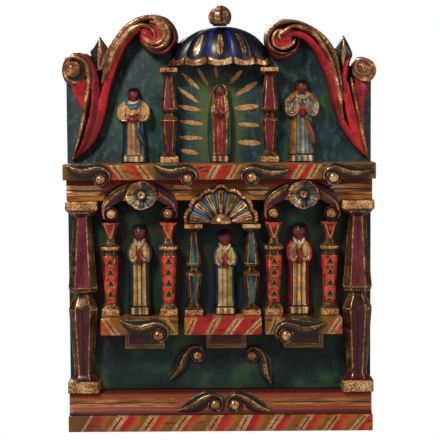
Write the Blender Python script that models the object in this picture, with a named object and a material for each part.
"""A carved and painted wooden retablo: a board with a stepped base, two storeys of niches and a scrolled crest.

Metres, +Z up. The origin is the centre of the plinth's underside, and the front faces -Y.
"""
import math

import bmesh
import bpy
from mathutils import Vector

# Every glued joint keeps this much air, so that the pieces stay separate bodies.
GAP = 0.0003

# Board, plinth and base moulding. "Out" is always a distance in front of the board's front face.
BOARD_WIDTH = 0.395
BOARD_THICKNESS = 0.018
PLINTH_OVERHANG = 0.0005
PLINTH_HEIGHT = 0.0216
PLINTH_OUT = 0.030
MOULDING_INSET = 0.0005
MOULDING_HEIGHT = 0.0281
MOULDING_OUT = 0.023
MOULDING_SPLAY = 0.0045

# Side columns: widths at the blocks, bulges, neck and both ends of the shaft.
COLUMN_HEIGHT = 0.250
COLUMN_OUT = 0.029
COLUMN_CAP_WIDTH = 0.042
COLUMN_BLOCK_WIDTH = 0.041
COLUMN_BULGE_WIDTH = 0.038
COLUMN_NECK_WIDTH = 0.0236
COLUMN_FOOT_WIDTH = 0.025
COLUMN_TOP_WIDTH = 0.0224
COLUMN_OVERHANG = 0.0008

# Frieze and cornice.
FRIEZE_HEIGHT = 0.0272
FRIEZE_OUT = 0.020
FRIEZE_GROOVE = 0.0012
CORNICE_OVERHANG = 0.00235
CORNICE_HEIGHT = 0.0210
CORNICE_OUT = 0.042
CORNICE_LIP = 0.0025

# Lower storey: three shelves with a plaque under each.
SHELF_CLEARANCE = 0.00325
SHELF_HEIGHT = 0.022
SHELF_OUT = 0.042
SHELF_LEFT_SHIFT = -0.00045
SHELF_MIDDLE_SHIFT = 0.0038
SHELF_RIGHT_SHIFT = 0.00415
PLAQUE_WIDTH = 0.053
PLAQUE_HEIGHT = 0.0232
PLAQUE_OUT = 0.008
PLAQUE_BEVEL = 0.002
PLAQUE_LEFT_SHIFT = 0.0047
PLAQUE_MIDDLE_SHIFT = 0.0041
PLAQUE_RIGHT_SHIFT = 0.0017

# Pillars stand on the shelves.
PILLAR_HEIGHT = 0.1212
PILLAR_DROP = 0.0286
PILLAR_INSET = 0.0125
PILLAR_1_SHIFT = -0.0008
PILLAR_2_SHIFT = -0.0003
PILLAR_3_SHIFT = 0.0004
PILLAR_4_SHIFT = -0.0022
RED_PILLAR_OUT = 0.024
RED_BLOCK_WIDTH = 0.0235
RED_SHAFT_FOOT_WIDTH = 0.0146
RED_SHAFT_TOP_WIDTH = 0.0210
RED_NECK_WIDTH = 0.0170
RED_RING_WIDTH = 0.0240
RED_WAIST_WIDTH = 0.0110
RED_FLARE_WIDTH = 0.0220
BLUE_PILLAR_DROP = 0.0022
BLUE_PILLAR_OUT = 0.024
BLUE_BLOCK_WIDTH = 0.0240
BLUE_FOOT_WIDTH = 0.0110
BLUE_SHAFT_WIDTH = 0.0220
BLUE_NECK_WIDTH = 0.0100
BLUE_BULGE_WIDTH = 0.0200
BLUE_TOP_WIDTH = 0.0090

# Arches over the outer niches: two scrolls and a rosette each, rebated over the frieze.
ARCH_RELIEF = 0.005
ARCH_RISE = 0.0440
ARCH_EYE_RADIUS = 0.0105
ARCH_BALL_RADIUS = 0.0078
EYE_1_SHIFT = 0.0026
EYE_2_SHIFT = 0.0006
EYE_3_SHIFT = -0.0005
EYE_4_SHIFT = 0.0020
ARM_HALF_WIDTH = 0.0110
ROSETTE_RADIUS = 0.0200
ROSETTE_RELIEF = 0.0075
ROSETTE_RISE = 0.0250
ROSETTE_PETALS = 6
ROSETTE_BOSS_RADIUS = 0.0066
ROSETTE_LEFT_SHIFT = 0.0032
ROSETTE_RIGHT_SHIFT = 0.0009

# Shell over the middle niche.
SHELL_SHIFT = -0.0018
SHELL_RELIEF = 0.0065
SHELL_BOSS_RADIUS = 0.0155
SHELL_BOSS_RELIEF = 0.012
SHELL_LOBES = 7
SHELL_SCALLOP = 0.0026

# Upper storey: two columns on the cornice, and the half dome with its ball.
UPPER_COLUMN_INSET = 0.0029
UPPER_COLUMN_SHIFT = 0.0006
UPPER_COLUMN_HEIGHT = 0.1217
UPPER_COLUMN_OUT = 0.024
UPPER_BLOCK_WIDTH = 0.0237
UPPER_FOOT_WIDTH = 0.0135
UPPER_SHAFT_WIDTH = 0.0220
UPPER_NECK_WIDTH = 0.0120
UPPER_BULGE_WIDTH = 0.0230
UPPER_TOP_WIDTH = 0.0128
DOME_X = 0.0020
DOME_HALF_WIDTH = 0.0675
DOME_OUT = 0.040
DOME_HEIGHT = 0.0520
DOME_HEM_HEIGHT = 0.013
DOME_HEM_SWELL = 0.0022
DOME_HEM_RISE = 0.0018
DOME_SCALLOP = 0.0028
DOME_GORES = 6
DOME_FLUTE = 0.0034
BALL_RADIUS = 0.0152
BALL_OUT = 0.0165
BALL_RING_RADIUS = 0.0095
BALL_RING_HEIGHT = 0.0024
BALL_SUNK = 0.0040

# Wings: free carvings between the board's edge and the dome, which they lap. Their stations are shares of
# their width and height, from the foot of the board's edge.
WING_LAP = 0.014
WING_RISE = 0.0143
WING_OUT = 0.029
TRUNK_TIP_OUT = 0.011
TRUNK_OUT = 0.021
SPIKE_OUT = 0.012

# Carved leaves: the ball and the eye round it are shares of the leaf's reach.
LEAF_RELIEF = 0.0062
LEAF_PLATE = 0.0024
LEAF_BALL = 0.115
LEAF_EYE = 0.215
OUTER_LEAF_LEFT_INSET = 0.0463
OUTER_LEAF_RIGHT_INSET = 0.0519
INNER_LEAF_LEFT_X = -0.0404
INNER_LEAF_RIGHT_X = 0.0412
PANEL_LEAF_LEFT_DROP = 0.0332
PANEL_LEAF_RIGHT_DROP = 0.0344
SHELF_LEAF_LEFT_INSET = 0.0260
SHELF_LEAF_RIGHT_INSET = 0.0272

# Figures, each placed by its height and half-width at the elbows.
FIGURE_OUT = 0.0165
HEAD_SHARE = 0.19
UPPER_LEFT_HEIGHT = 0.0965
UPPER_MIDDLE_HEIGHT = 0.1010
UPPER_RIGHT_HEIGHT = 0.1058
LOWER_LEFT_HEIGHT = 0.1186
LOWER_MIDDLE_HEIGHT = 0.1099
LOWER_RIGHT_HEIGHT = 0.1190
UPPER_LEFT_HALF_WIDTH = 0.0210
UPPER_MIDDLE_HALF_WIDTH = 0.0170
UPPER_RIGHT_HALF_WIDTH = 0.0218
LOWER_HALF_WIDTH = 0.0172
UPPER_LEFT_SHIFT = 0.02085
UPPER_MIDDLE_SHIFT = 0.0018
UPPER_RIGHT_SHIFT = -0.02365
LOWER_LEFT_SHIFT = -0.0003
LOWER_MIDDLE_SHIFT = 0.0032
LOWER_RIGHT_SHIFT = -0.0038

# Widths, levels and planes that follow from the sizes above.
PLINTH_WIDTH = BOARD_WIDTH + 2 * PLINTH_OVERHANG
MOULDING_WIDTH = BOARD_WIDTH - 2 * MOULDING_INSET
FRIEZE_WIDTH = BOARD_WIDTH
CORNICE_WIDTH = BOARD_WIDTH + 2 * CORNICE_OVERHANG
SHELF_WIDTH = (BOARD_WIDTH - 2 * COLUMN_BLOCK_WIDTH - 4 * SHELF_CLEARANCE) / 3
SHELF_LEFT_X = SHELF_LEFT_SHIFT - SHELF_WIDTH - SHELF_CLEARANCE
SHELF_MIDDLE_X = SHELF_MIDDLE_SHIFT
SHELF_RIGHT_X = SHELF_WIDTH + SHELF_CLEARANCE + SHELF_RIGHT_SHIFT
PILLAR_SPACING = SHELF_WIDTH / 2 - PILLAR_INSET
SHELL_RADIUS = PILLAR_SPACING + BLUE_BLOCK_WIDTH / 2
ROSETTE_LEFT_X = SHELF_LEFT_X + ROSETTE_LEFT_SHIFT
ROSETTE_RIGHT_X = SHELF_RIGHT_X + ROSETTE_RIGHT_SHIFT
UPPER_COLUMN_X = DOME_HALF_WIDTH - UPPER_COLUMN_INSET
UPPER_BAY_X = (BOARD_WIDTH / 2 + UPPER_COLUMN_X) / 2
WING_WIDTH = BOARD_WIDTH / 2 - DOME_HALF_WIDTH + WING_LAP
WING_HEIGHT = UPPER_COLUMN_HEIGHT + DOME_HEIGHT + WING_RISE
FACE_Y = (PLINTH_OUT - BOARD_THICKNESS) / 2
GLUE_Y = FACE_Y - GAP
MOULDING_FOOT = PLINTH_HEIGHT + GAP
BASE_TOP = MOULDING_FOOT + MOULDING_HEIGHT + GAP
COLUMN_LEFT_X = COLUMN_BLOCK_WIDTH / 2 - BOARD_WIDTH / 2 - COLUMN_OVERHANG
COLUMN_RIGHT_X = BOARD_WIDTH / 2 - COLUMN_BLOCK_WIDTH / 2 + 2 * COLUMN_OVERHANG
FRIEZE_FOOT = BASE_TOP + COLUMN_HEIGHT + GAP
CORNICE_FOOT = FRIEZE_FOOT + FRIEZE_HEIGHT + GAP
CORNICE_TOP = CORNICE_FOOT + CORNICE_HEIGHT + GAP
PILLAR_TOP = FRIEZE_FOOT - PILLAR_DROP
SHELF_FLOOR = PILLAR_TOP - PILLAR_HEIGHT
SHELF_TOP = SHELF_FLOOR - GAP
BLUE_PILLAR_HEIGHT = PILLAR_HEIGHT - BLUE_PILLAR_DROP
ARCH_EYE_Z = PILLAR_TOP + GAP + ARCH_EYE_RADIUS
SHELL_FOOT = SHELF_FLOOR + BLUE_PILLAR_HEIGHT + GAP
DOME_FOOT = CORNICE_TOP + UPPER_COLUMN_HEIGHT + GAP
DOME_TOP = DOME_FOOT + DOME_HEIGHT

# Left wing. Trunk levels: up, outer edge, inner edge. Arm stations: across, up, half-width.
LEFT_TRUNK = (
    (0.000, 0.022, 0.045), (0.100, 0.076, 0.183), (0.204, 0.112, 0.281), (0.343, 0.130, 0.349),
    (0.413, 0.119, 0.377), (0.482, 0.072, 0.399), (0.552, 0.042, 0.423), (0.640, 0.060, 0.455),
)
LEFT_ARM = (
    (0.330, 0.490, 0.070), (0.373, 0.578, 0.078), (0.420, 0.674, 0.074), (0.467, 0.757, 0.071), (0.531, 0.826, 0.066),
    (0.600, 0.880, 0.060), (0.682, 0.932, 0.052), (0.760, 0.962, 0.046), (0.850, 0.955, 0.040),
)
LEFT_DISC = (0.827, 0.868, 0.173)
LEFT_KNOB = (0.110, 0.639, 0.137)
LEFT_SPIKE = ((0.306, 0.856), (0.219, 0.718), (0.297, 0.560), (0.406, 0.800))
LEFT_CREST = ((0.000, 0.590), (0.080, 0.668), (0.200, 0.680), (0.330, 0.690), (0.440, 0.735), (0.510, 0.812),
              (0.600, 0.878), (0.690, 0.928), (0.790, 0.940), (0.890, 0.925), (0.960, 0.860), (0.995, 0.790))

# Right wing, carved a little lower and wider.
RIGHT_TRUNK = (
    (0.000, 0.010, 0.035), (0.087, 0.028, 0.137), (0.192, 0.065, 0.265), (0.331, 0.088, 0.356),
    (0.401, 0.074, 0.383), (0.470, 0.043, 0.402), (0.539, 0.016, 0.420), (0.625, 0.040, 0.445),
)
RIGHT_ARM = (
    (0.310, 0.500, 0.074), (0.352, 0.610, 0.082), (0.402, 0.679, 0.080), (0.447, 0.748, 0.077), (0.497, 0.811, 0.069),
    (0.560, 0.866, 0.060), (0.642, 0.908, 0.050), (0.725, 0.930, 0.044), (0.815, 0.925, 0.040),
)
RIGHT_DISC = (0.804, 0.830, 0.176)
RIGHT_KNOB = (0.079, 0.618, 0.128)
RIGHT_SPIKE = ((0.254, 0.853), (0.179, 0.707), (0.256, 0.540), (0.343, 0.777))
RIGHT_CREST = ((0.000, 0.570), (0.060, 0.645), (0.180, 0.655), (0.300, 0.665), (0.420, 0.730), (0.480, 0.795),
               (0.560, 0.862), (0.650, 0.908), (0.750, 0.920), (0.860, 0.890), (0.930, 0.830), (0.965, 0.755))

# Leaf stations from the curl over the eye to the tip: across and up in reaches, half-width in reaches.
RISING_LEAF = (
    (0.235, -0.060, 0.030), (0.255, 0.120, 0.055), (0.180, 0.275, 0.085), (0.000, 0.370, 0.130), (-0.220, 0.335, 0.170),
    (-0.450, 0.285, 0.200), (-0.680, 0.340, 0.160), (-0.860, 0.430, 0.085), (-1.000, 0.520, 0.012),
)
LEVEL_LEAF = (
    (0.180, -0.040, 0.030), (0.170, 0.150, 0.055), (0.000, 0.275, 0.080), (-0.200, 0.250, 0.125), (-0.390, 0.163, 0.168),
    (-0.590, 0.048, 0.165), (-0.790, -0.016, 0.100), (-1.000, -0.056, 0.012),
)

# Arch scroll: from the eye's outer side up to the rosette, in shares of the pillar spacing and the rise.
ARM = (
    (-0.245, -0.100, 0.24), (-0.262, 0.096, 0.33), (-0.190, 0.285, 0.60), (-0.035, 0.430, 0.85), (0.179, 0.565, 0.94),
    (0.412, 0.700, 0.84), (0.618, 0.832, 0.58),
)


def skin(columns, rows, place):
    """One closed form: columns run round it, rows run along it, and flat faces fill both ends."""
    form = bmesh.new()
    bmesh.ops.create_grid(form, x_segments=columns, y_segments=rows, size=0.5)
    for vert in form.verts:
        around = round((vert.co.x + 0.5) * columns) % columns
        along = round((vert.co.y + 0.5) * rows)
        vert.co = place(around, along)
    bmesh.ops.remove_doubles(form, verts=form.verts, dist=1e-6)
    ends = [edge for edge in form.edges if edge.is_boundary]
    bmesh.ops.holes_fill(form, edges=ends, sides=0)
    bmesh.ops.recalc_face_normals(form, faces=form.faces)
    return form


def box(x0, x1, out0, out1, z0, z1):
    form = bmesh.new()
    bmesh.ops.create_cube(form, size=1)
    bmesh.ops.scale(form, verts=form.verts, vec=(x1 - x0, out1 - out0, z1 - z0))
    bmesh.ops.translate(form, verts=form.verts, vec=((x0 + x1) / 2, -(out0 + out1) / 2, (z0 + z1) / 2))
    return form


def extruded(corners, path):
    """A flat face with these corners, pushed along the path."""
    form = bmesh.new()
    face = form.faces.new([form.verts.new(corner) for corner in corners])
    pushed = bmesh.ops.extrude_face_region(form, geom=[face])
    moved = [item for item in pushed["geom"] if isinstance(item, bmesh.types.BMVert)]
    bmesh.ops.translate(form, verts=moved, vec=path)
    bmesh.ops.recalc_face_normals(form, faces=form.faces)
    return form


def bar(profile, width):
    """A moulding: a profile of (out, z) corners run across the width."""
    return extruded([(-width / 2, -out, z) for out, z in profile], (width, 0, 0))


def post(levels, full_width, full_out):
    """A half post with a flat back: each level is (z, width, share of the width left flat in front)."""
    def place(around, along):
        z, width, flat = levels[along]
        half = width / 2
        out = full_out * (0.35 + 0.65 * width / full_width)
        shoulder = max(0.2 * out, out - half * (1 - flat))
        left = ((-half, 0), (-half, shoulder), (-half * flat, out))
        x, depth = (left + ((half * flat, out), (half, shoulder), (half, 0)))[around]
        return (x, -depth, z)
    return skin(6, len(levels) - 1, place)


def turned(profile, sides, squash=1.0, lean=0.0):
    """A form turned about an axis that points to the front: the profile is (radius, out) from back to front."""
    def place(around, along):
        radius, out = profile[along]
        angle = math.tau * around / sides
        return (radius * math.cos(angle) + lean * out, -out, squash * radius * math.sin(angle))
    return skin(sides, len(profile) - 1, place)


def half_ball(radius, foot, steps):
    """Profile of a half ball that rises to the front from the level foot."""
    turn = math.pi / 2 / steps
    curve = [(radius * math.cos(turn * i), foot + radius * math.sin(turn * i)) for i in range(steps)]
    return curve + [(0, foot + radius)]


def ribbon(stations, crest, shoulder=0.5):
    """A ridged band with a flat back along stations of (x, z, half-width, out). Its edges are shoulder * out high."""
    def place(around, along):
        x, z, half, out = stations[along]
        before = stations[max(along - 1, 0)]
        after = stations[min(along + 1, len(stations) - 1)]
        run = Vector((after[0] - before[0], after[1] - before[1])).normalized()
        across, rise = ((-1, 0), (-1, shoulder), (crest, 1), (1, shoulder), (1, 0))[around]
        return (x - run.y * across * half, -out * rise, z + run.x * across * half)
    return skin(5, len(stations) - 1, place)


def joined(first, others, operation="UNION"):
    """The first form with the others added to it, or cut from it."""
    helpers = []
    for form in [first] + others:
        mesh = bpy.data.meshes.new("helper")
        form.to_mesh(mesh)
        form.free()
        helper = bpy.data.objects.new("helper", mesh)
        bpy.context.scene.collection.objects.link(helper)
        helpers.append(helper)
    for tool in helpers[1:]:
        boolean = helpers[0].modifiers.new("boolean", "BOOLEAN")
        boolean.operation = operation
        boolean.solver = "EXACT"
        boolean.object = tool
    result = bmesh.new()
    evaluated = helpers[0].evaluated_get(bpy.context.evaluated_depsgraph_get())
    result.from_mesh(evaluated.to_mesh())
    evaluated.to_mesh_clear()
    for helper in helpers:
        mesh = helper.data
        bpy.data.objects.remove(helper)
        bpy.data.meshes.remove(mesh)
    bmesh.ops.remove_doubles(result, verts=result.verts, dist=2e-5)
    bmesh.ops.dissolve_degenerate(result, edges=result.edges, dist=2e-5)
    return result


def mirrored(form):
    bmesh.ops.scale(form, verts=form.verts, vec=(-1, 1, 1))
    bmesh.ops.reverse_faces(form, faces=form.faces)
    return form


def painted(name, colour, roughness, metallic):
    material = bpy.data.materials.new(name)
    material.use_nodes = True
    shader = material.node_tree.nodes["Principled BSDF"]
    shader.inputs["Base Color"].default_value = (*colour, 1)
    shader.inputs["Roughness"].default_value = roughness
    shader.inputs["Metallic"].default_value = metallic
    return material


def piece(name, shape, location, colour, roughness=0.45, metallic=0.0, smooth=False):
    """One glued piece: its own object and material. The shape is a form, or the mesh of an earlier copy."""
    if isinstance(shape, bmesh.types.BMesh):
        mesh = bpy.data.meshes.new(name)
        shape.to_mesh(mesh)
        shape.free()
        if smooth:
            mesh.shade_smooth()
            mesh.set_sharp_from_angle(angle=math.radians(40))
    else:
        mesh = shape
    placed = bpy.data.objects.new(name, mesh)
    placed.location = location
    bpy.context.scene.collection.objects.link(placed)
    if not mesh.materials:
        mesh.materials.append(None)
    placed.material_slots[0].link = "OBJECT"
    placed.material_slots[0].material = painted(name, colour, roughness, metallic)
    return placed


def backboard():
    """The flat board: straight sides, and a top cut to hide behind the wings and the dome."""
    edge = BOARD_WIDTH / 2

    def crest(points, side):
        return [(side * (edge - across * WING_WIDTH), CORNICE_TOP + up * WING_HEIGHT) for across, up in points]
    steps = 8
    dome = []
    for step in range(steps + 1):
        angle = math.pi * (0.80 - 0.60 * step / steps)
        rise = min(math.sin(angle), 0.93)
        dome.append((DOME_X + 0.97 * DOME_HALF_WIDTH * math.cos(angle), DOME_FOOT + 0.97 * DOME_HEIGHT * rise))
    right = crest(RIGHT_CREST, 1)
    outline = [(-edge, BASE_TOP)] + crest(LEFT_CREST, -1) + dome + right[::-1] + [(edge, BASE_TOP)]
    return extruded([(x, 0, z) for x, z in outline], (0, BOARD_THICKNESS, 0))


def block_with_profile(height, block, cap, levels):
    """Levels of a post with a square block at its foot and another at its top."""
    foot = [(0, block, 0.94), (0.062 * height, block, 0.94)]
    head = [(0.955 * height, cap, 0.94), (height, cap, 0.94)]
    return foot + [(share * height, width, flat) for share, width, flat in levels] + head


def side_column():
    levels = (
        (0.066, COLUMN_BLOCK_WIDTH * 0.86, 0.50),
        (0.094, COLUMN_FOOT_WIDTH, 0.50),
        (0.435, COLUMN_BULGE_WIDTH, 0.52),
        (0.456, COLUMN_BULGE_WIDTH * 0.93, 0.52),
        (0.500, COLUMN_NECK_WIDTH, 0.50),
        (0.512, COLUMN_NECK_WIDTH, 0.50),
        (0.530, COLUMN_BULGE_WIDTH * 0.92, 0.52),
        (0.550, COLUMN_BULGE_WIDTH, 0.52),
        (0.915, COLUMN_TOP_WIDTH, 0.50),
        (0.922, COLUMN_TOP_WIDTH * 1.25, 0.52),
        (0.940, COLUMN_CAP_WIDTH * 0.88, 0.60),
        (0.950, COLUMN_CAP_WIDTH * 0.93, 0.90),
    )
    profile = block_with_profile(COLUMN_HEIGHT, COLUMN_BLOCK_WIDTH, COLUMN_CAP_WIDTH, levels)
    return post(profile, COLUMN_CAP_WIDTH, COLUMN_OUT)


def red_pillar():
    levels = (
        (0.120, RED_BLOCK_WIDTH * 0.78, 0.62),
        (0.135, RED_SHAFT_FOOT_WIDTH, 0.60),
        (0.640, RED_SHAFT_TOP_WIDTH, 0.62),
        (0.660, RED_NECK_WIDTH, 0.62),
        (0.695, RED_NECK_WIDTH, 0.62),
        (0.712, RED_RING_WIDTH, 0.70),
        (0.745, RED_RING_WIDTH, 0.70),
        (0.772, RED_NECK_WIDTH * 0.88, 0.60),
        (0.825, RED_WAIST_WIDTH, 0.60),
    )
    inner = [(share * PILLAR_HEIGHT, width, flat) for share, width, flat in levels]
    foot = [(0, RED_BLOCK_WIDTH, 0.94), (0.068 * PILLAR_HEIGHT, RED_BLOCK_WIDTH, 0.94)]
    head = [(0.985 * PILLAR_HEIGHT, RED_FLARE_WIDTH, 0.66), (PILLAR_HEIGHT, RED_FLARE_WIDTH, 0.66)]
    return post(foot + inner + head, RED_RING_WIDTH, RED_PILLAR_OUT)


def baluster(height, block, foot_width, shaft, neck, bulge, top, out):
    """A two-part baluster: a shaft that widens upwards, a neck, and one that narrows upwards."""
    levels = (
        (0.090, block * 0.72, 0.60),
        (0.120, foot_width, 0.56),
        (0.445, shaft, 0.58),
        (0.465, shaft * 0.90, 0.58),
        (0.495, neck, 0.56),
        (0.520, neck, 0.56),
        (0.545, bulge * 0.88, 0.58),
        (0.567, bulge, 0.58),
        (0.885, top, 0.56),
        (0.905, top, 0.56),
        (0.930, block * 0.80, 0.70),
    )
    return post(block_with_profile(height, block, block, levels), block, out)


def frieze_space(x, z):
    """The room that the frieze takes, as seen from a piece whose origin is at x and z."""
    half = FRIEZE_WIDTH / 2 + GAP
    foot, top = FRIEZE_FOOT - GAP, CORNICE_FOOT + CORNICE_HEIGHT
    return box(-half - x, half - x, -0.01, FRIEZE_OUT + GAP, foot - z, top - z)


def column_space(side, x, z):
    """The room that a side column takes, as seen from a piece whose origin is at x and z."""
    centre = (COLUMN_LEFT_X if side < 0 else COLUMN_RIGHT_X) - x
    half = COLUMN_CAP_WIDTH / 2 + GAP
    return box(centre - half, centre + half, -0.01, 2 * COLUMN_OUT, BASE_TOP - z, FRIEZE_FOOT - z)


def arch_scroll(x, side, rosette_x):
    """One arm: an eye with a ball on the pillar, and a ridged band that climbs to the rosette."""
    out = FRIEZE_OUT + ARCH_RELIEF
    band = [(side * a * PILLAR_SPACING, u * ARCH_RISE, w * ARM_HALF_WIDTH, out) for a, u, w in ARM]
    eye_plate = 0.72 * out
    eye = turned([(ARCH_EYE_RADIUS, 0), (ARCH_EYE_RADIUS, eye_plate), (ARCH_BALL_RADIUS, eye_plate)]
                 + half_ball(ARCH_BALL_RADIUS, out - 0.4 * ARCH_BALL_RADIUS, 2), 9)
    rosette = turned([(ROSETTE_RADIUS + GAP, -0.01), (ROSETTE_RADIUS + GAP, 0.05)], 24)
    bmesh.ops.translate(rosette, verts=rosette.verts, vec=(rosette_x - x, 0, ROSETTE_RISE))
    arm = joined(ribbon(band, 0.40 * side, (FRIEZE_OUT + 0.35 * ARCH_RELIEF) / out), [eye])
    column = column_space(-1 if x < 0 else 1, x, ARCH_EYE_Z)
    return joined(arm, [frieze_space(x, ARCH_EYE_Z), column, rosette], "DIFFERENCE")


def rosette(x):
    """A flower of ridged petals round a boss."""
    out = FRIEZE_OUT + ROSETTE_RELIEF
    sides = 4 * ROSETTE_PETALS
    profile = ((1.00, -FRIEZE_OUT / ROSETTE_RELIEF), (1.00, 0.50), (0.82, 1.00), (0.42, 0.42))

    def place(around, along):
        ridge = (1.0, 0.5, 0.0, 0.5)[around % 4]
        share, height = profile[along]
        radius = ROSETTE_RADIUS * share * (1 - 0.07 * ridge if along < 3 else 1)
        depth = FRIEZE_OUT + ROSETTE_RELIEF * (height - (0.28 * ridge if along else 0))
        angle = math.tau * around / sides
        return (radius * math.cos(angle), -depth, radius * math.sin(angle))
    crown = half_ball(ROSETTE_BOSS_RADIUS, out - 0.7 * ROSETTE_BOSS_RADIUS, 2)
    boss = turned([(ROSETTE_BOSS_RADIUS, 0.5 * out)] + crown, 10)
    flower = joined(skin(sides, 3, place), [boss])
    return joined(flower, [frieze_space(x, ARCH_EYE_Z + ROSETTE_RISE)], "DIFFERENCE")


def shell():
    """A fan of lobes round a half-ball boss. Its straight side is the bottom."""
    out = FRIEZE_OUT + SHELL_RELIEF
    per_lobe = 4
    steps = SHELL_LOBES * per_lobe

    def place(around, along):
        # The first and last rows run a little under the straight side, which is then cut level.
        angle = math.pi * along / steps + (-0.06 if along == 0 else 0.06 if along == steps else 0)
        swell = math.sin(math.pi * (along % per_lobe) / per_lobe)
        rim = SHELL_RADIUS - SHELL_SCALLOP * (1 - swell)
        ring = (
            (0.04 * SHELL_RADIUS, -0.01),
            (rim, -0.01),
            (rim, FRIEZE_OUT + 0.45 * SHELL_RELIEF),
            (rim - 0.09 * SHELL_RADIUS, out),
            (rim - 0.18 * SHELL_RADIUS, FRIEZE_OUT + (0.15 + 0.30 * swell) * SHELL_RELIEF),
            (0.30 * SHELL_RADIUS, FRIEZE_OUT + (0.15 + 0.15 * swell) * SHELL_RELIEF),
            (0.04 * SHELL_RADIUS, FRIEZE_OUT),
        )
        radius, depth = ring[around]
        return (-radius * math.cos(angle), -depth, radius * math.sin(angle))
    stretch = (0.4 * out + SHELL_BOSS_RELIEF) / SHELL_BOSS_RADIUS
    round_front = [(r, 0.6 * out + o * stretch) for r, o in half_ball(SHELL_BOSS_RADIUS, 0, 4)]
    boss = turned([(SHELL_BOSS_RADIUS, -0.01)] + round_front, 16)
    fan = joined(skin(7, steps, place), [boss])
    span = 2 * SHELL_RADIUS
    below = box(-span, span, -0.05, 0.1, -span, 0)
    behind = box(-span, span, -0.05, 0, -span, 2 * span)
    return joined(fan, [below, behind, frieze_space(SHELF_MIDDLE_X + SHELL_SHIFT, SHELL_FOOT)], "DIFFERENCE")


def dome():
    """A half melon dome: fluted gores that close at a small flat top, over a scalloped hem."""
    per_gore = 4
    steps = DOME_GORES * per_gore
    hem = DOME_HEM_HEIGHT / DOME_HEIGHT
    levels = [(0.0, 0.93), (0.0, 1.0), (hem * 0.5, 1.0), (hem, 1.0), (hem + 0.02, 1.0), (0.50, 1.0), (0.72, 1.0),
              (0.90, 1.0), (1.0, 1.0)]

    def place(around, along):
        up, inset = levels[along]
        # The last two columns close the flat back.
        angle = math.pi * min(around, steps) / steps
        # A whole gore faces the front, so the first and the last are halves.
        lobe = abs(math.sin(math.pi * (around + per_gore / 2) / per_gore))
        swell = DOME_HEM_SWELL if 0 < along < 4 else 0
        radius = math.sqrt(max(1 - (0.985 * up) ** 2, 0)) * inset
        flute = DOME_FLUTE * (1 - lobe) * (1 - up * up)
        x = (DOME_HALF_WIDTH - DOME_HEM_SWELL) * radius - flute + swell
        depth = (DOME_OUT - DOME_HEM_SWELL) * radius - flute + swell
        lift = DOME_HEM_RISE + DOME_SCALLOP * (1 - lobe) if 0 < along < 3 else 0
        return (-x * math.cos(angle), -depth * math.sin(angle), up * DOME_HEIGHT + lift)
    return skin(steps + 1, len(levels) - 1, place)


def dome_space():
    """The room that the dome takes between the wings, as seen from the foot of the crest."""
    steps, levels = 16, (0.0, 0.3, 0.6, 0.85, 1.02)
    spare = 1.02

    def place(around, along):
        up = levels[along]
        angle = math.pi * min(around, steps) / steps
        radius = math.sqrt(max(1 - (0.96 * up) ** 2, 0)) * spare
        x = DOME_X - DOME_HALF_WIDTH * radius * math.cos(angle)
        depth = 0.01 if around in (0, steps) else -(DOME_OUT + GAP) * radius * math.sin(angle)
        return (x, depth, DOME_FOOT - CORNICE_TOP - GAP + up * DOME_HEIGHT)
    return skin(steps + 1, len(levels) - 1, place)


def finial():
    """The gilded ball on its ring, flattened where it sits on the dome."""
    centre = BALL_RADIUS - BALL_SUNK
    start = BALL_RING_HEIGHT + 0.0004
    profile = [(0, 0), (BALL_RING_RADIUS, 0), (BALL_RING_RADIUS, BALL_RING_HEIGHT)]
    low = -math.asin((centre - start) / BALL_RADIUS)
    steps = 6
    for step in range(steps):
        angle = low + (math.pi / 2 - low) * step / steps
        profile.append((BALL_RADIUS * math.cos(angle), centre + BALL_RADIUS * math.sin(angle)))
    profile.append((0, centre + BALL_RADIUS))
    sides = 12

    def place(around, along):
        radius, z = profile[along]
        angle = math.tau * around / sides
        return (radius * math.cos(angle), radius * math.sin(angle), z)
    return skin(sides, len(profile) - 1, place)


def leaf(stations, reach, squash, rise, turn=0.0):
    """An S-shaped leaf that curls over a ball and points to the left. Squash lowers the crown, rise lifts the tip."""
    band = []
    cosine, sine = math.cos(turn), math.sin(turn)
    for across, up, half in stations:
        x, z = across * reach, (up * squash + rise * max(-across, 0)) * reach
        relief = LEAF_RELIEF * (0.45 + 0.55 * min(1, half / 0.12))
        band.append((x * cosine - z * sine, x * sine + z * cosine, half * reach * (1 + squash) / 2, relief))
    ball, plate = LEAF_BALL * reach, LEAF_EYE * reach
    eye = turned([(plate, 0), (plate, LEAF_PLATE), (ball, LEAF_PLATE)] + half_ball(ball, 0.5 * LEAF_RELIEF, 2), 8)
    return joined(ribbon(band, -0.2), [eye])


def splay_space(z):
    """The room that the plinth and the moulding's splayed foot take, as seen from a leaf on the moulding."""
    foot, step = MOULDING_FOOT - z + 2 * GAP, PLINTH_OUT - MOULDING_OUT
    profile = [(-0.01, foot - 0.05), (0.05, foot - 0.05), (0.05, foot), (step, foot), (0, foot + MOULDING_SPLAY),
               (-0.01, foot + MOULDING_SPLAY)]
    return bar(profile, BOARD_WIDTH)


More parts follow.
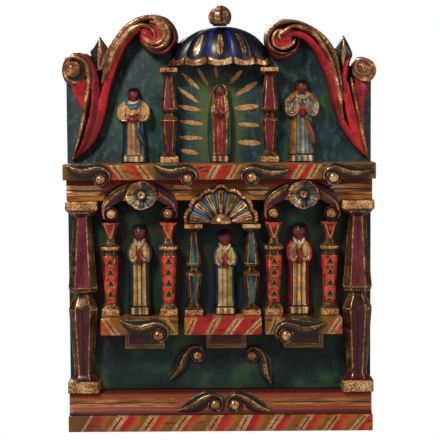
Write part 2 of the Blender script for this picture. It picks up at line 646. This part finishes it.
def wing(side, trunk, arm, disc, knob, spike):
    """A crest wing: a swelling trunk, an arm that curls into a disc, a knob outside and a spike between them."""
    def spot(across, up):
        return side * (BOARD_WIDTH / 2 - across * WING_WIDTH), up * WING_HEIGHT

    def body(around, along):
        up, outer, inner = trunk[along]
        share, depth = ((0, 0), (0, 0.5), (0.22, 0.86), (0.55, 1), (0.85, 0.8), (1, 0.45), (1, 0))[around]
        x, z = spot(outer + (inner - outer) * share, up)
        out = TRUNK_TIP_OUT + (TRUNK_OUT - TRUNK_TIP_OUT) * min(1, up / 0.4)
        return (x, -out * depth, z)
    band = []
    for across, up, half in arm:
        x, z = spot(across, up)
        climb = min(1, max(0, (up - 0.45) / 0.35))
        band.append((x, z, half * WING_WIDTH, TRUNK_OUT + (0.95 * WING_OUT - TRUNK_OUT) * climb))
    x, z = spot(disc[0], disc[1])
    radius = disc[2] * WING_WIDTH
    roll = [(radius, 0), (radius, 0.80), (0.93 * radius, 0.98), (0.78 * radius, 1.0), (0.66 * radius, 0.84),
            (0.34 * radius, 0.80), (0.26 * radius, 0.95), (0, 1.0)]
    scroll = turned([(r, out * WING_OUT) for r, out in roll], 16)
    bmesh.ops.translate(scroll, verts=scroll.verts, vec=(x, 0, z))
    x, z = spot(knob[0], knob[1])
    radius = knob[2] * WING_WIDTH
    roll = [(radius, 0), (radius, 0.55), (0.95 * radius, 0.82), (0.80 * radius, 0.90), (0.58 * radius, 0.82),
            (0.44 * radius, 0.86), (0.38 * radius, 0.98), (0.22 * radius, 1.08), (0, 1.12)]
    volute = turned([(r, out * WING_OUT * 0.95) for r, out in roll], 12, 1.0, -0.10)
    bmesh.ops.translate(volute, verts=volute.verts, vec=(x, 0, z))
    corners = [spot(across, up) for across, up in spike]
    thorn = bmesh.new()
    for index, (x, z) in enumerate(corners):
        front = SPIKE_OUT if index in (0, 2) else 0.45 * SPIKE_OUT
        thorn.verts.new((x, 0, z))
        thorn.verts.new((x, -(0.5 * front if index == 0 else front), z))
    middle = (sum(x for x, _ in corners) / 4, sum(z for _, z in corners) / 4)
    thorn.verts.new((middle[0], -SPIKE_OUT, middle[1]))
    bmesh.ops.convex_hull(thorn, input=thorn.verts)
    bmesh.ops.recalc_face_normals(thorn, faces=thorn.faces)
    carving = joined(skin(7, len(trunk) - 1, body), [ribbon(band, 0.15 * side), scroll, volute, thorn])
    return joined(carving, [dome_space()], "DIFFERENCE")


def figure(height, half_width, robe, head_x=0.0, arms=True, hood=False):
    """A standing figure with a flat back: robe and mantle, bent arms with joined hands, and the head."""
    steps = 8

    def body(around, along):
        up, width, depth = robe[along]
        angle = math.pi * around / (steps - 1)
        pleat = 1 - (0.06 if around % 2 and 2 < along < 5 else 0)
        x = -half_width * width * math.cos(angle)
        out = FIGURE_OUT * depth * math.sin(angle) ** 0.7 * pleat if 0 < around < steps - 1 else 0
        return (x, -out, up * height)
    head_height = HEAD_SHARE * height
    head_half = 0.42 * head_height * (1.05 if hood else 1)

    def skull(around, along):
        angle = math.tau * around / 8
        tilt = math.pi * along / 6
        wide = head_half * math.sin(tilt) * (1 - 0.10 * math.cos(tilt) * (0 if hood else 1))
        x = head_x * height + wide * math.cos(angle)
        out = 0.5 * FIGURE_OUT + 0.00035 + min(0.48 * FIGURE_OUT, head_half) * math.sin(tilt) * math.sin(angle)
        return (x, -out, height - head_height * (1 + math.cos(tilt)) / 2)
    parts = [skin(8, 6, skull)]
    neck = 0.27 * head_height
    parts.append(box(head_x * height - neck, head_x * height + neck, 0.1 * FIGURE_OUT, 0.72 * FIGURE_OUT,
                     0.76 * height, (1 - 0.6 * HEAD_SHARE) * height))
    if arms:
        for side in (-1, 1):
            sleeve = ((0.62, 0.775, 0.20, 0.80), (0.80, 0.70, 0.24, 0.90), (0.76, 0.615, 0.25, 1.02),
                      (0.46, 0.60, 0.22, 1.14), (0.16, 0.645, 0.16, 1.16))
            band = [(side * a * half_width, u * height, w * half_width, o * FIGURE_OUT) for a, u, w, o in sleeve]
            parts.append(ribbon(band, 0.0))
        palms = ((0.585, 0.15, 1.12), (0.64, 0.26, 1.26), (0.73, 0.07, 1.12))
        parts.append(ribbon([(0, u * height, w * half_width, o * FIGURE_OUT) for u, w, o in palms], 0.0))
    return joined(skin(steps, len(robe) - 1, body), parts)


for old in list(bpy.data.objects):
    bpy.data.objects.remove(old)

# Base.
piece("base_plinth", box(-PLINTH_WIDTH / 2, PLINTH_WIDTH / 2, -BOARD_THICKNESS, PLINTH_OUT, 0, PLINTH_HEIGHT),
      (0, FACE_Y, 0), (0.45, 0.12, 0.05))
moulding = [(-BOARD_THICKNESS, 0), (PLINTH_OUT - 0.001, 0), (MOULDING_OUT, MOULDING_SPLAY),
            (MOULDING_OUT, MOULDING_HEIGHT), (-BOARD_THICKNESS, MOULDING_HEIGHT)]
piece("base_moulding", bar(moulding, MOULDING_WIDTH), (0, FACE_Y, MOULDING_FOOT), (0.42, 0.16, 0.06))
piece("backboard", backboard(), (0, FACE_Y, 0), (0.03, 0.09, 0.09))
column_mesh = None
for name, x in (("left", COLUMN_LEFT_X), ("right", COLUMN_RIGHT_X)):
    column = piece("side_column_" + name, column_mesh or side_column(), (x, GLUE_Y, BASE_TOP), (0.16, 0.03, 0.06))
    column_mesh = column.data

# Frieze and cornice.
middle = FRIEZE_HEIGHT * 0.47
frieze = [(0, 0), (FRIEZE_OUT, 0), (FRIEZE_OUT, middle - FRIEZE_GROOVE), (FRIEZE_OUT - FRIEZE_GROOVE, middle),
          (FRIEZE_OUT, middle + FRIEZE_GROOVE), (FRIEZE_OUT, FRIEZE_HEIGHT), (0, FRIEZE_HEIGHT)]
piece("frieze", bar(frieze, FRIEZE_WIDTH), (0, GLUE_Y, FRIEZE_FOOT), (0.40, 0.20, 0.07))
cornice = [(0, 0), (CORNICE_OUT, 0), (CORNICE_OUT, CORNICE_HEIGHT - CORNICE_LIP),
           (CORNICE_OUT - CORNICE_LIP, CORNICE_HEIGHT), (0, CORNICE_HEIGHT)]
piece("cornice", bar(cornice, CORNICE_WIDTH), (0, GLUE_Y, CORNICE_FOOT), (0.45, 0.12, 0.05))

# Shelves and plaques.
for name, x, shift in (("left", SHELF_LEFT_X, PLAQUE_LEFT_SHIFT), ("middle", SHELF_MIDDLE_X, PLAQUE_MIDDLE_SHIFT),
                       ("right", SHELF_RIGHT_X, PLAQUE_RIGHT_SHIFT)):
    foot = SHELF_TOP - SHELF_HEIGHT
    shelf = box(-SHELF_WIDTH / 2, SHELF_WIDTH / 2, 0, SHELF_OUT, 0, SHELF_HEIGHT)
    piece("shelf_" + name, shelf, (x, GLUE_Y, foot), (0.45, 0.14, 0.06))
    half, face = PLAQUE_WIDTH / 2, PLAQUE_OUT - PLAQUE_BEVEL
    corners = [(-half, 0, 0), (half, 0, 0), (half, 0, PLAQUE_HEIGHT), (-half, 0, PLAQUE_HEIGHT)]
    plaque = extruded(corners, (0, -PLAQUE_OUT, 0))
    rim = [edge for edge in plaque.edges if all(vert.co.y < -face for vert in edge.verts)]
    bmesh.ops.bevel(plaque, geom=rim, offset=PLAQUE_BEVEL, segments=1, profile=0.5, affect="EDGES", material=-1)
    piece("plaque_" + name, plaque, (x + shift, GLUE_Y, foot - GAP - PLAQUE_HEIGHT), (0.20, 0.05, 0.04))

# Pillars, arch scrolls and rosettes of the two outer niches.
red_mesh = None
pillars = (
    (1, SHELF_LEFT_X, -1, PILLAR_1_SHIFT, EYE_1_SHIFT, ROSETTE_LEFT_X),
    (2, SHELF_LEFT_X, 1, PILLAR_2_SHIFT, EYE_2_SHIFT, ROSETTE_LEFT_X),
    (3, SHELF_RIGHT_X, -1, PILLAR_3_SHIFT, EYE_3_SHIFT, ROSETTE_RIGHT_X),
    (4, SHELF_RIGHT_X, 1, PILLAR_4_SHIFT, EYE_4_SHIFT, ROSETTE_RIGHT_X),
)
for number, niche_x, side, shift, eye_shift, rosette_x in pillars:
    x = niche_x + side * PILLAR_SPACING + shift
    shape = red_mesh or red_pillar()
    pillar = piece("red_pillar_%d" % number, shape, (x, GLUE_Y, SHELF_FLOOR), (0.50, 0.03, 0.03))
    red_mesh = pillar.data
    x += eye_shift
    scroll = arch_scroll(x, -side, rosette_x)
    piece("arch_scroll_%d" % number, scroll, (x, GLUE_Y, ARCH_EYE_Z), (0.14, 0.04, 0.06), smooth=True)
for name, x in (("left", ROSETTE_LEFT_X), ("right", ROSETTE_RIGHT_X)):
    piece("rosette_" + name, rosette(x), (x, GLUE_Y, ARCH_EYE_Z + ROSETTE_RISE), (0.35, 0.36, 0.33), smooth=True)

# Blue pillars and shell of the middle niche.
blue_mesh = None
for name, side in (("left", -1), ("right", 1)):
    shape = blue_mesh or baluster(BLUE_PILLAR_HEIGHT, BLUE_BLOCK_WIDTH, BLUE_FOOT_WIDTH, BLUE_SHAFT_WIDTH,
                                  BLUE_NECK_WIDTH, BLUE_BULGE_WIDTH, BLUE_TOP_WIDTH, BLUE_PILLAR_OUT)
    x = SHELF_MIDDLE_X + side * PILLAR_SPACING
    pillar = piece("blue_pillar_" + name, shape, (x, GLUE_Y, SHELF_FLOOR), (0.03, 0.13, 0.17))
    blue_mesh = pillar.data
piece("shell", shell(), (SHELF_MIDDLE_X + SHELL_SHIFT, GLUE_Y, SHELL_FOOT), (0.06, 0.22, 0.28))

# Upper columns, dome and ball.
upper_mesh = None
for name, side in (("left", -1), ("right", 1)):
    shape = upper_mesh or baluster(UPPER_COLUMN_HEIGHT, UPPER_BLOCK_WIDTH, UPPER_FOOT_WIDTH, UPPER_SHAFT_WIDTH,
                                   UPPER_NECK_WIDTH, UPPER_BULGE_WIDTH, UPPER_TOP_WIDTH, UPPER_COLUMN_OUT)
    x = UPPER_COLUMN_SHIFT + side * UPPER_COLUMN_X
    column = piece("upper_column_" + name, shape, (x, GLUE_Y, CORNICE_TOP), (0.18, 0.03, 0.07))
    upper_mesh = column.data
piece("dome", dome(), (DOME_X, GLUE_Y, DOME_FOOT), (0.02, 0.03, 0.10), smooth=True)
piece("finial_ball", finial(), (DOME_X, GLUE_Y - BALL_OUT, DOME_TOP + GAP), (0.45, 0.27, 0.10), 0.35, 0.6, True)

# Crest wings.
left_wing = wing(-1, LEFT_TRUNK, LEFT_ARM, LEFT_DISC, LEFT_KNOB, LEFT_SPIKE)
piece("top_scroll_left", left_wing, (0, GLUE_Y, CORNICE_TOP), (0.45, 0.04, 0.04), smooth=True)
right_wing = wing(1, RIGHT_TRUNK, RIGHT_ARM, RIGHT_DISC, RIGHT_KNOB, RIGHT_SPIKE)
piece("top_scroll_right", right_wing, (0, GLUE_Y, CORNICE_TOP), (0.45, 0.04, 0.04), smooth=True)

# Leaves: name, side, stations, glue plane, eye x, eye z, reach, squash, rise, turn.
cornice_y = GLUE_Y - CORNICE_OUT - GAP
shelf_y = GLUE_Y - SHELF_OUT - GAP
moulding_y = FACE_Y - MOULDING_OUT - GAP
shelf_foot = SHELF_TOP - SHELF_HEIGHT
left_eye_x = SHELF_LEFT_X + SHELF_WIDTH / 2 - SHELF_LEAF_LEFT_INSET
right_eye_x = SHELF_RIGHT_X - SHELF_WIDTH / 2 + SHELF_LEAF_RIGHT_INSET
outer_left_x = OUTER_LEAF_LEFT_INSET - BOARD_WIDTH / 2
outer_right_x = BOARD_WIDTH / 2 - OUTER_LEAF_RIGHT_INSET
leaves = (
    ("cornice_leaf_1", -1, RISING_LEAF, cornice_y, outer_left_x, CORNICE_FOOT + 0.0012, 0.0455, 0.88, -0.033, 0.0),
    ("cornice_leaf_2", -1, RISING_LEAF, cornice_y, INNER_LEAF_LEFT_X, CORNICE_FOOT + 0.0016, 0.0435, 0.84, -0.018, 0.0),
    ("cornice_leaf_3", 1, RISING_LEAF, cornice_y, INNER_LEAF_RIGHT_X, CORNICE_FOOT + 0.0022, 0.0500, 0.70, -0.140, 0.0),
    ("cornice_leaf_4", 1, RISING_LEAF, cornice_y, outer_right_x, CORNICE_FOOT + 0.0022, 0.0495, 0.74, -0.180, 0.0),
    ("shelf_leaf_left", -1, RISING_LEAF, shelf_y, left_eye_x, shelf_foot - 0.0003, 0.0500, 0.88, -0.040, 0.0),
    ("shelf_leaf_right", 1, RISING_LEAF, shelf_y, right_eye_x, shelf_foot - 0.0010, 0.0510, 0.85, -0.110, 0.0),
    ("panel_leaf_left", -1, LEVEL_LEAF, GLUE_Y, -0.0295, shelf_foot - PANEL_LEAF_LEFT_DROP, 0.0480, 1.0, 0.0, 0.66),
    ("panel_leaf_right", 1, LEVEL_LEAF, GLUE_Y, 0.0412, shelf_foot - PANEL_LEAF_RIGHT_DROP, 0.0480, 1.0, 0.0, 0.92),
    ("base_leaf_left", -1, LEVEL_LEAF, moulding_y, -0.0067, MOULDING_FOOT + 0.0120, 0.0500, 1.0, 0.0, 0.08),
    ("base_leaf_right", 1, LEVEL_LEAF, moulding_y, 0.0178, MOULDING_FOOT + 0.0118, 0.0510, 1.0, 0.0, 0.12),
)
for name, side, stations, plane, x, z, reach, squash, rise, turn in leaves:
    shape = leaf(stations, reach, squash, rise, turn)
    if name.startswith("base"):
        shape = joined(shape, [splay_space(z)], "DIFFERENCE")
    if side > 0:
        shape = mirrored(shape)
    piece(name, shape, (x, plane, z), (0.03, 0.07, 0.05), smooth=True)

# Figures. Robe levels: up, half-width share, depth share.
MANTLE = (
    (0, 0.92, 0.90), (0.085, 0.92, 0.90), (0.090, 0.86, 0.78), (0.30, 0.86, 0.78), (0.52, 0.84, 0.82),
    (0.64, 0.96, 0.92), (0.76, 0.90, 0.92), (0.815, 0.60, 0.72), (0.83, 0.30, 0.50),
)
SHORT_MANTLE = (
    (0, 0.80, 0.90), (0.085, 0.80, 0.90), (0.090, 0.70, 0.78), (0.30, 0.72, 0.80), (0.50, 0.66, 0.80),
    (0.62, 0.90, 0.95), (0.74, 0.92, 0.95), (0.805, 0.62, 0.75), (0.825, 0.30, 0.50),
)
VEIL = (
    (0, 0.80, 0.90), (0.13, 0.85, 0.95), (0.14, 0.94, 0.80), (0.36, 1.0, 0.86), (0.58, 0.96, 0.92),
    (0.74, 0.80, 0.92), (0.84, 0.62, 0.80), (0.93, 0.50, 0.66), (0.985, 0.26, 0.40),
)
BROWN = (0.25, 0.17, 0.08)
RED = (0.30, 0.03, 0.03)
GOLD = (0.30, 0.20, 0.07)
figures = (
    ("upper_left", UPPER_LEFT_SHIFT - UPPER_BAY_X, CORNICE_TOP, UPPER_LEFT_HEIGHT, UPPER_LEFT_HALF_WIDTH, SHORT_MANTLE, BROWN),
    ("upper_middle", UPPER_MIDDLE_SHIFT, CORNICE_TOP, UPPER_MIDDLE_HEIGHT, UPPER_MIDDLE_HALF_WIDTH, VEIL, RED),
    ("upper_right", UPPER_BAY_X + UPPER_RIGHT_SHIFT, CORNICE_TOP, UPPER_RIGHT_HEIGHT, UPPER_RIGHT_HALF_WIDTH, SHORT_MANTLE, GOLD),
    ("lower_left", SHELF_LEFT_X + LOWER_LEFT_SHIFT, SHELF_FLOOR, LOWER_LEFT_HEIGHT, LOWER_HALF_WIDTH, MANTLE, GOLD),
    ("lower_middle", SHELF_MIDDLE_X + LOWER_MIDDLE_SHIFT, SHELF_FLOOR, LOWER_MIDDLE_HEIGHT, LOWER_HALF_WIDTH, MANTLE, GOLD),
    ("lower_right", SHELF_RIGHT_X + LOWER_RIGHT_SHIFT, SHELF_FLOOR, LOWER_RIGHT_HEIGHT, LOWER_HALF_WIDTH, MANTLE, GOLD),
)
for name, x, floor, height, half_width, robe, colour in figures:
    veiled = robe is VEIL
    shape = figure(height, half_width, robe, 0.0, not veiled, veiled)
    piece("figure_" + name, shape, (x, GLUE_Y, floor), colour, smooth=True)
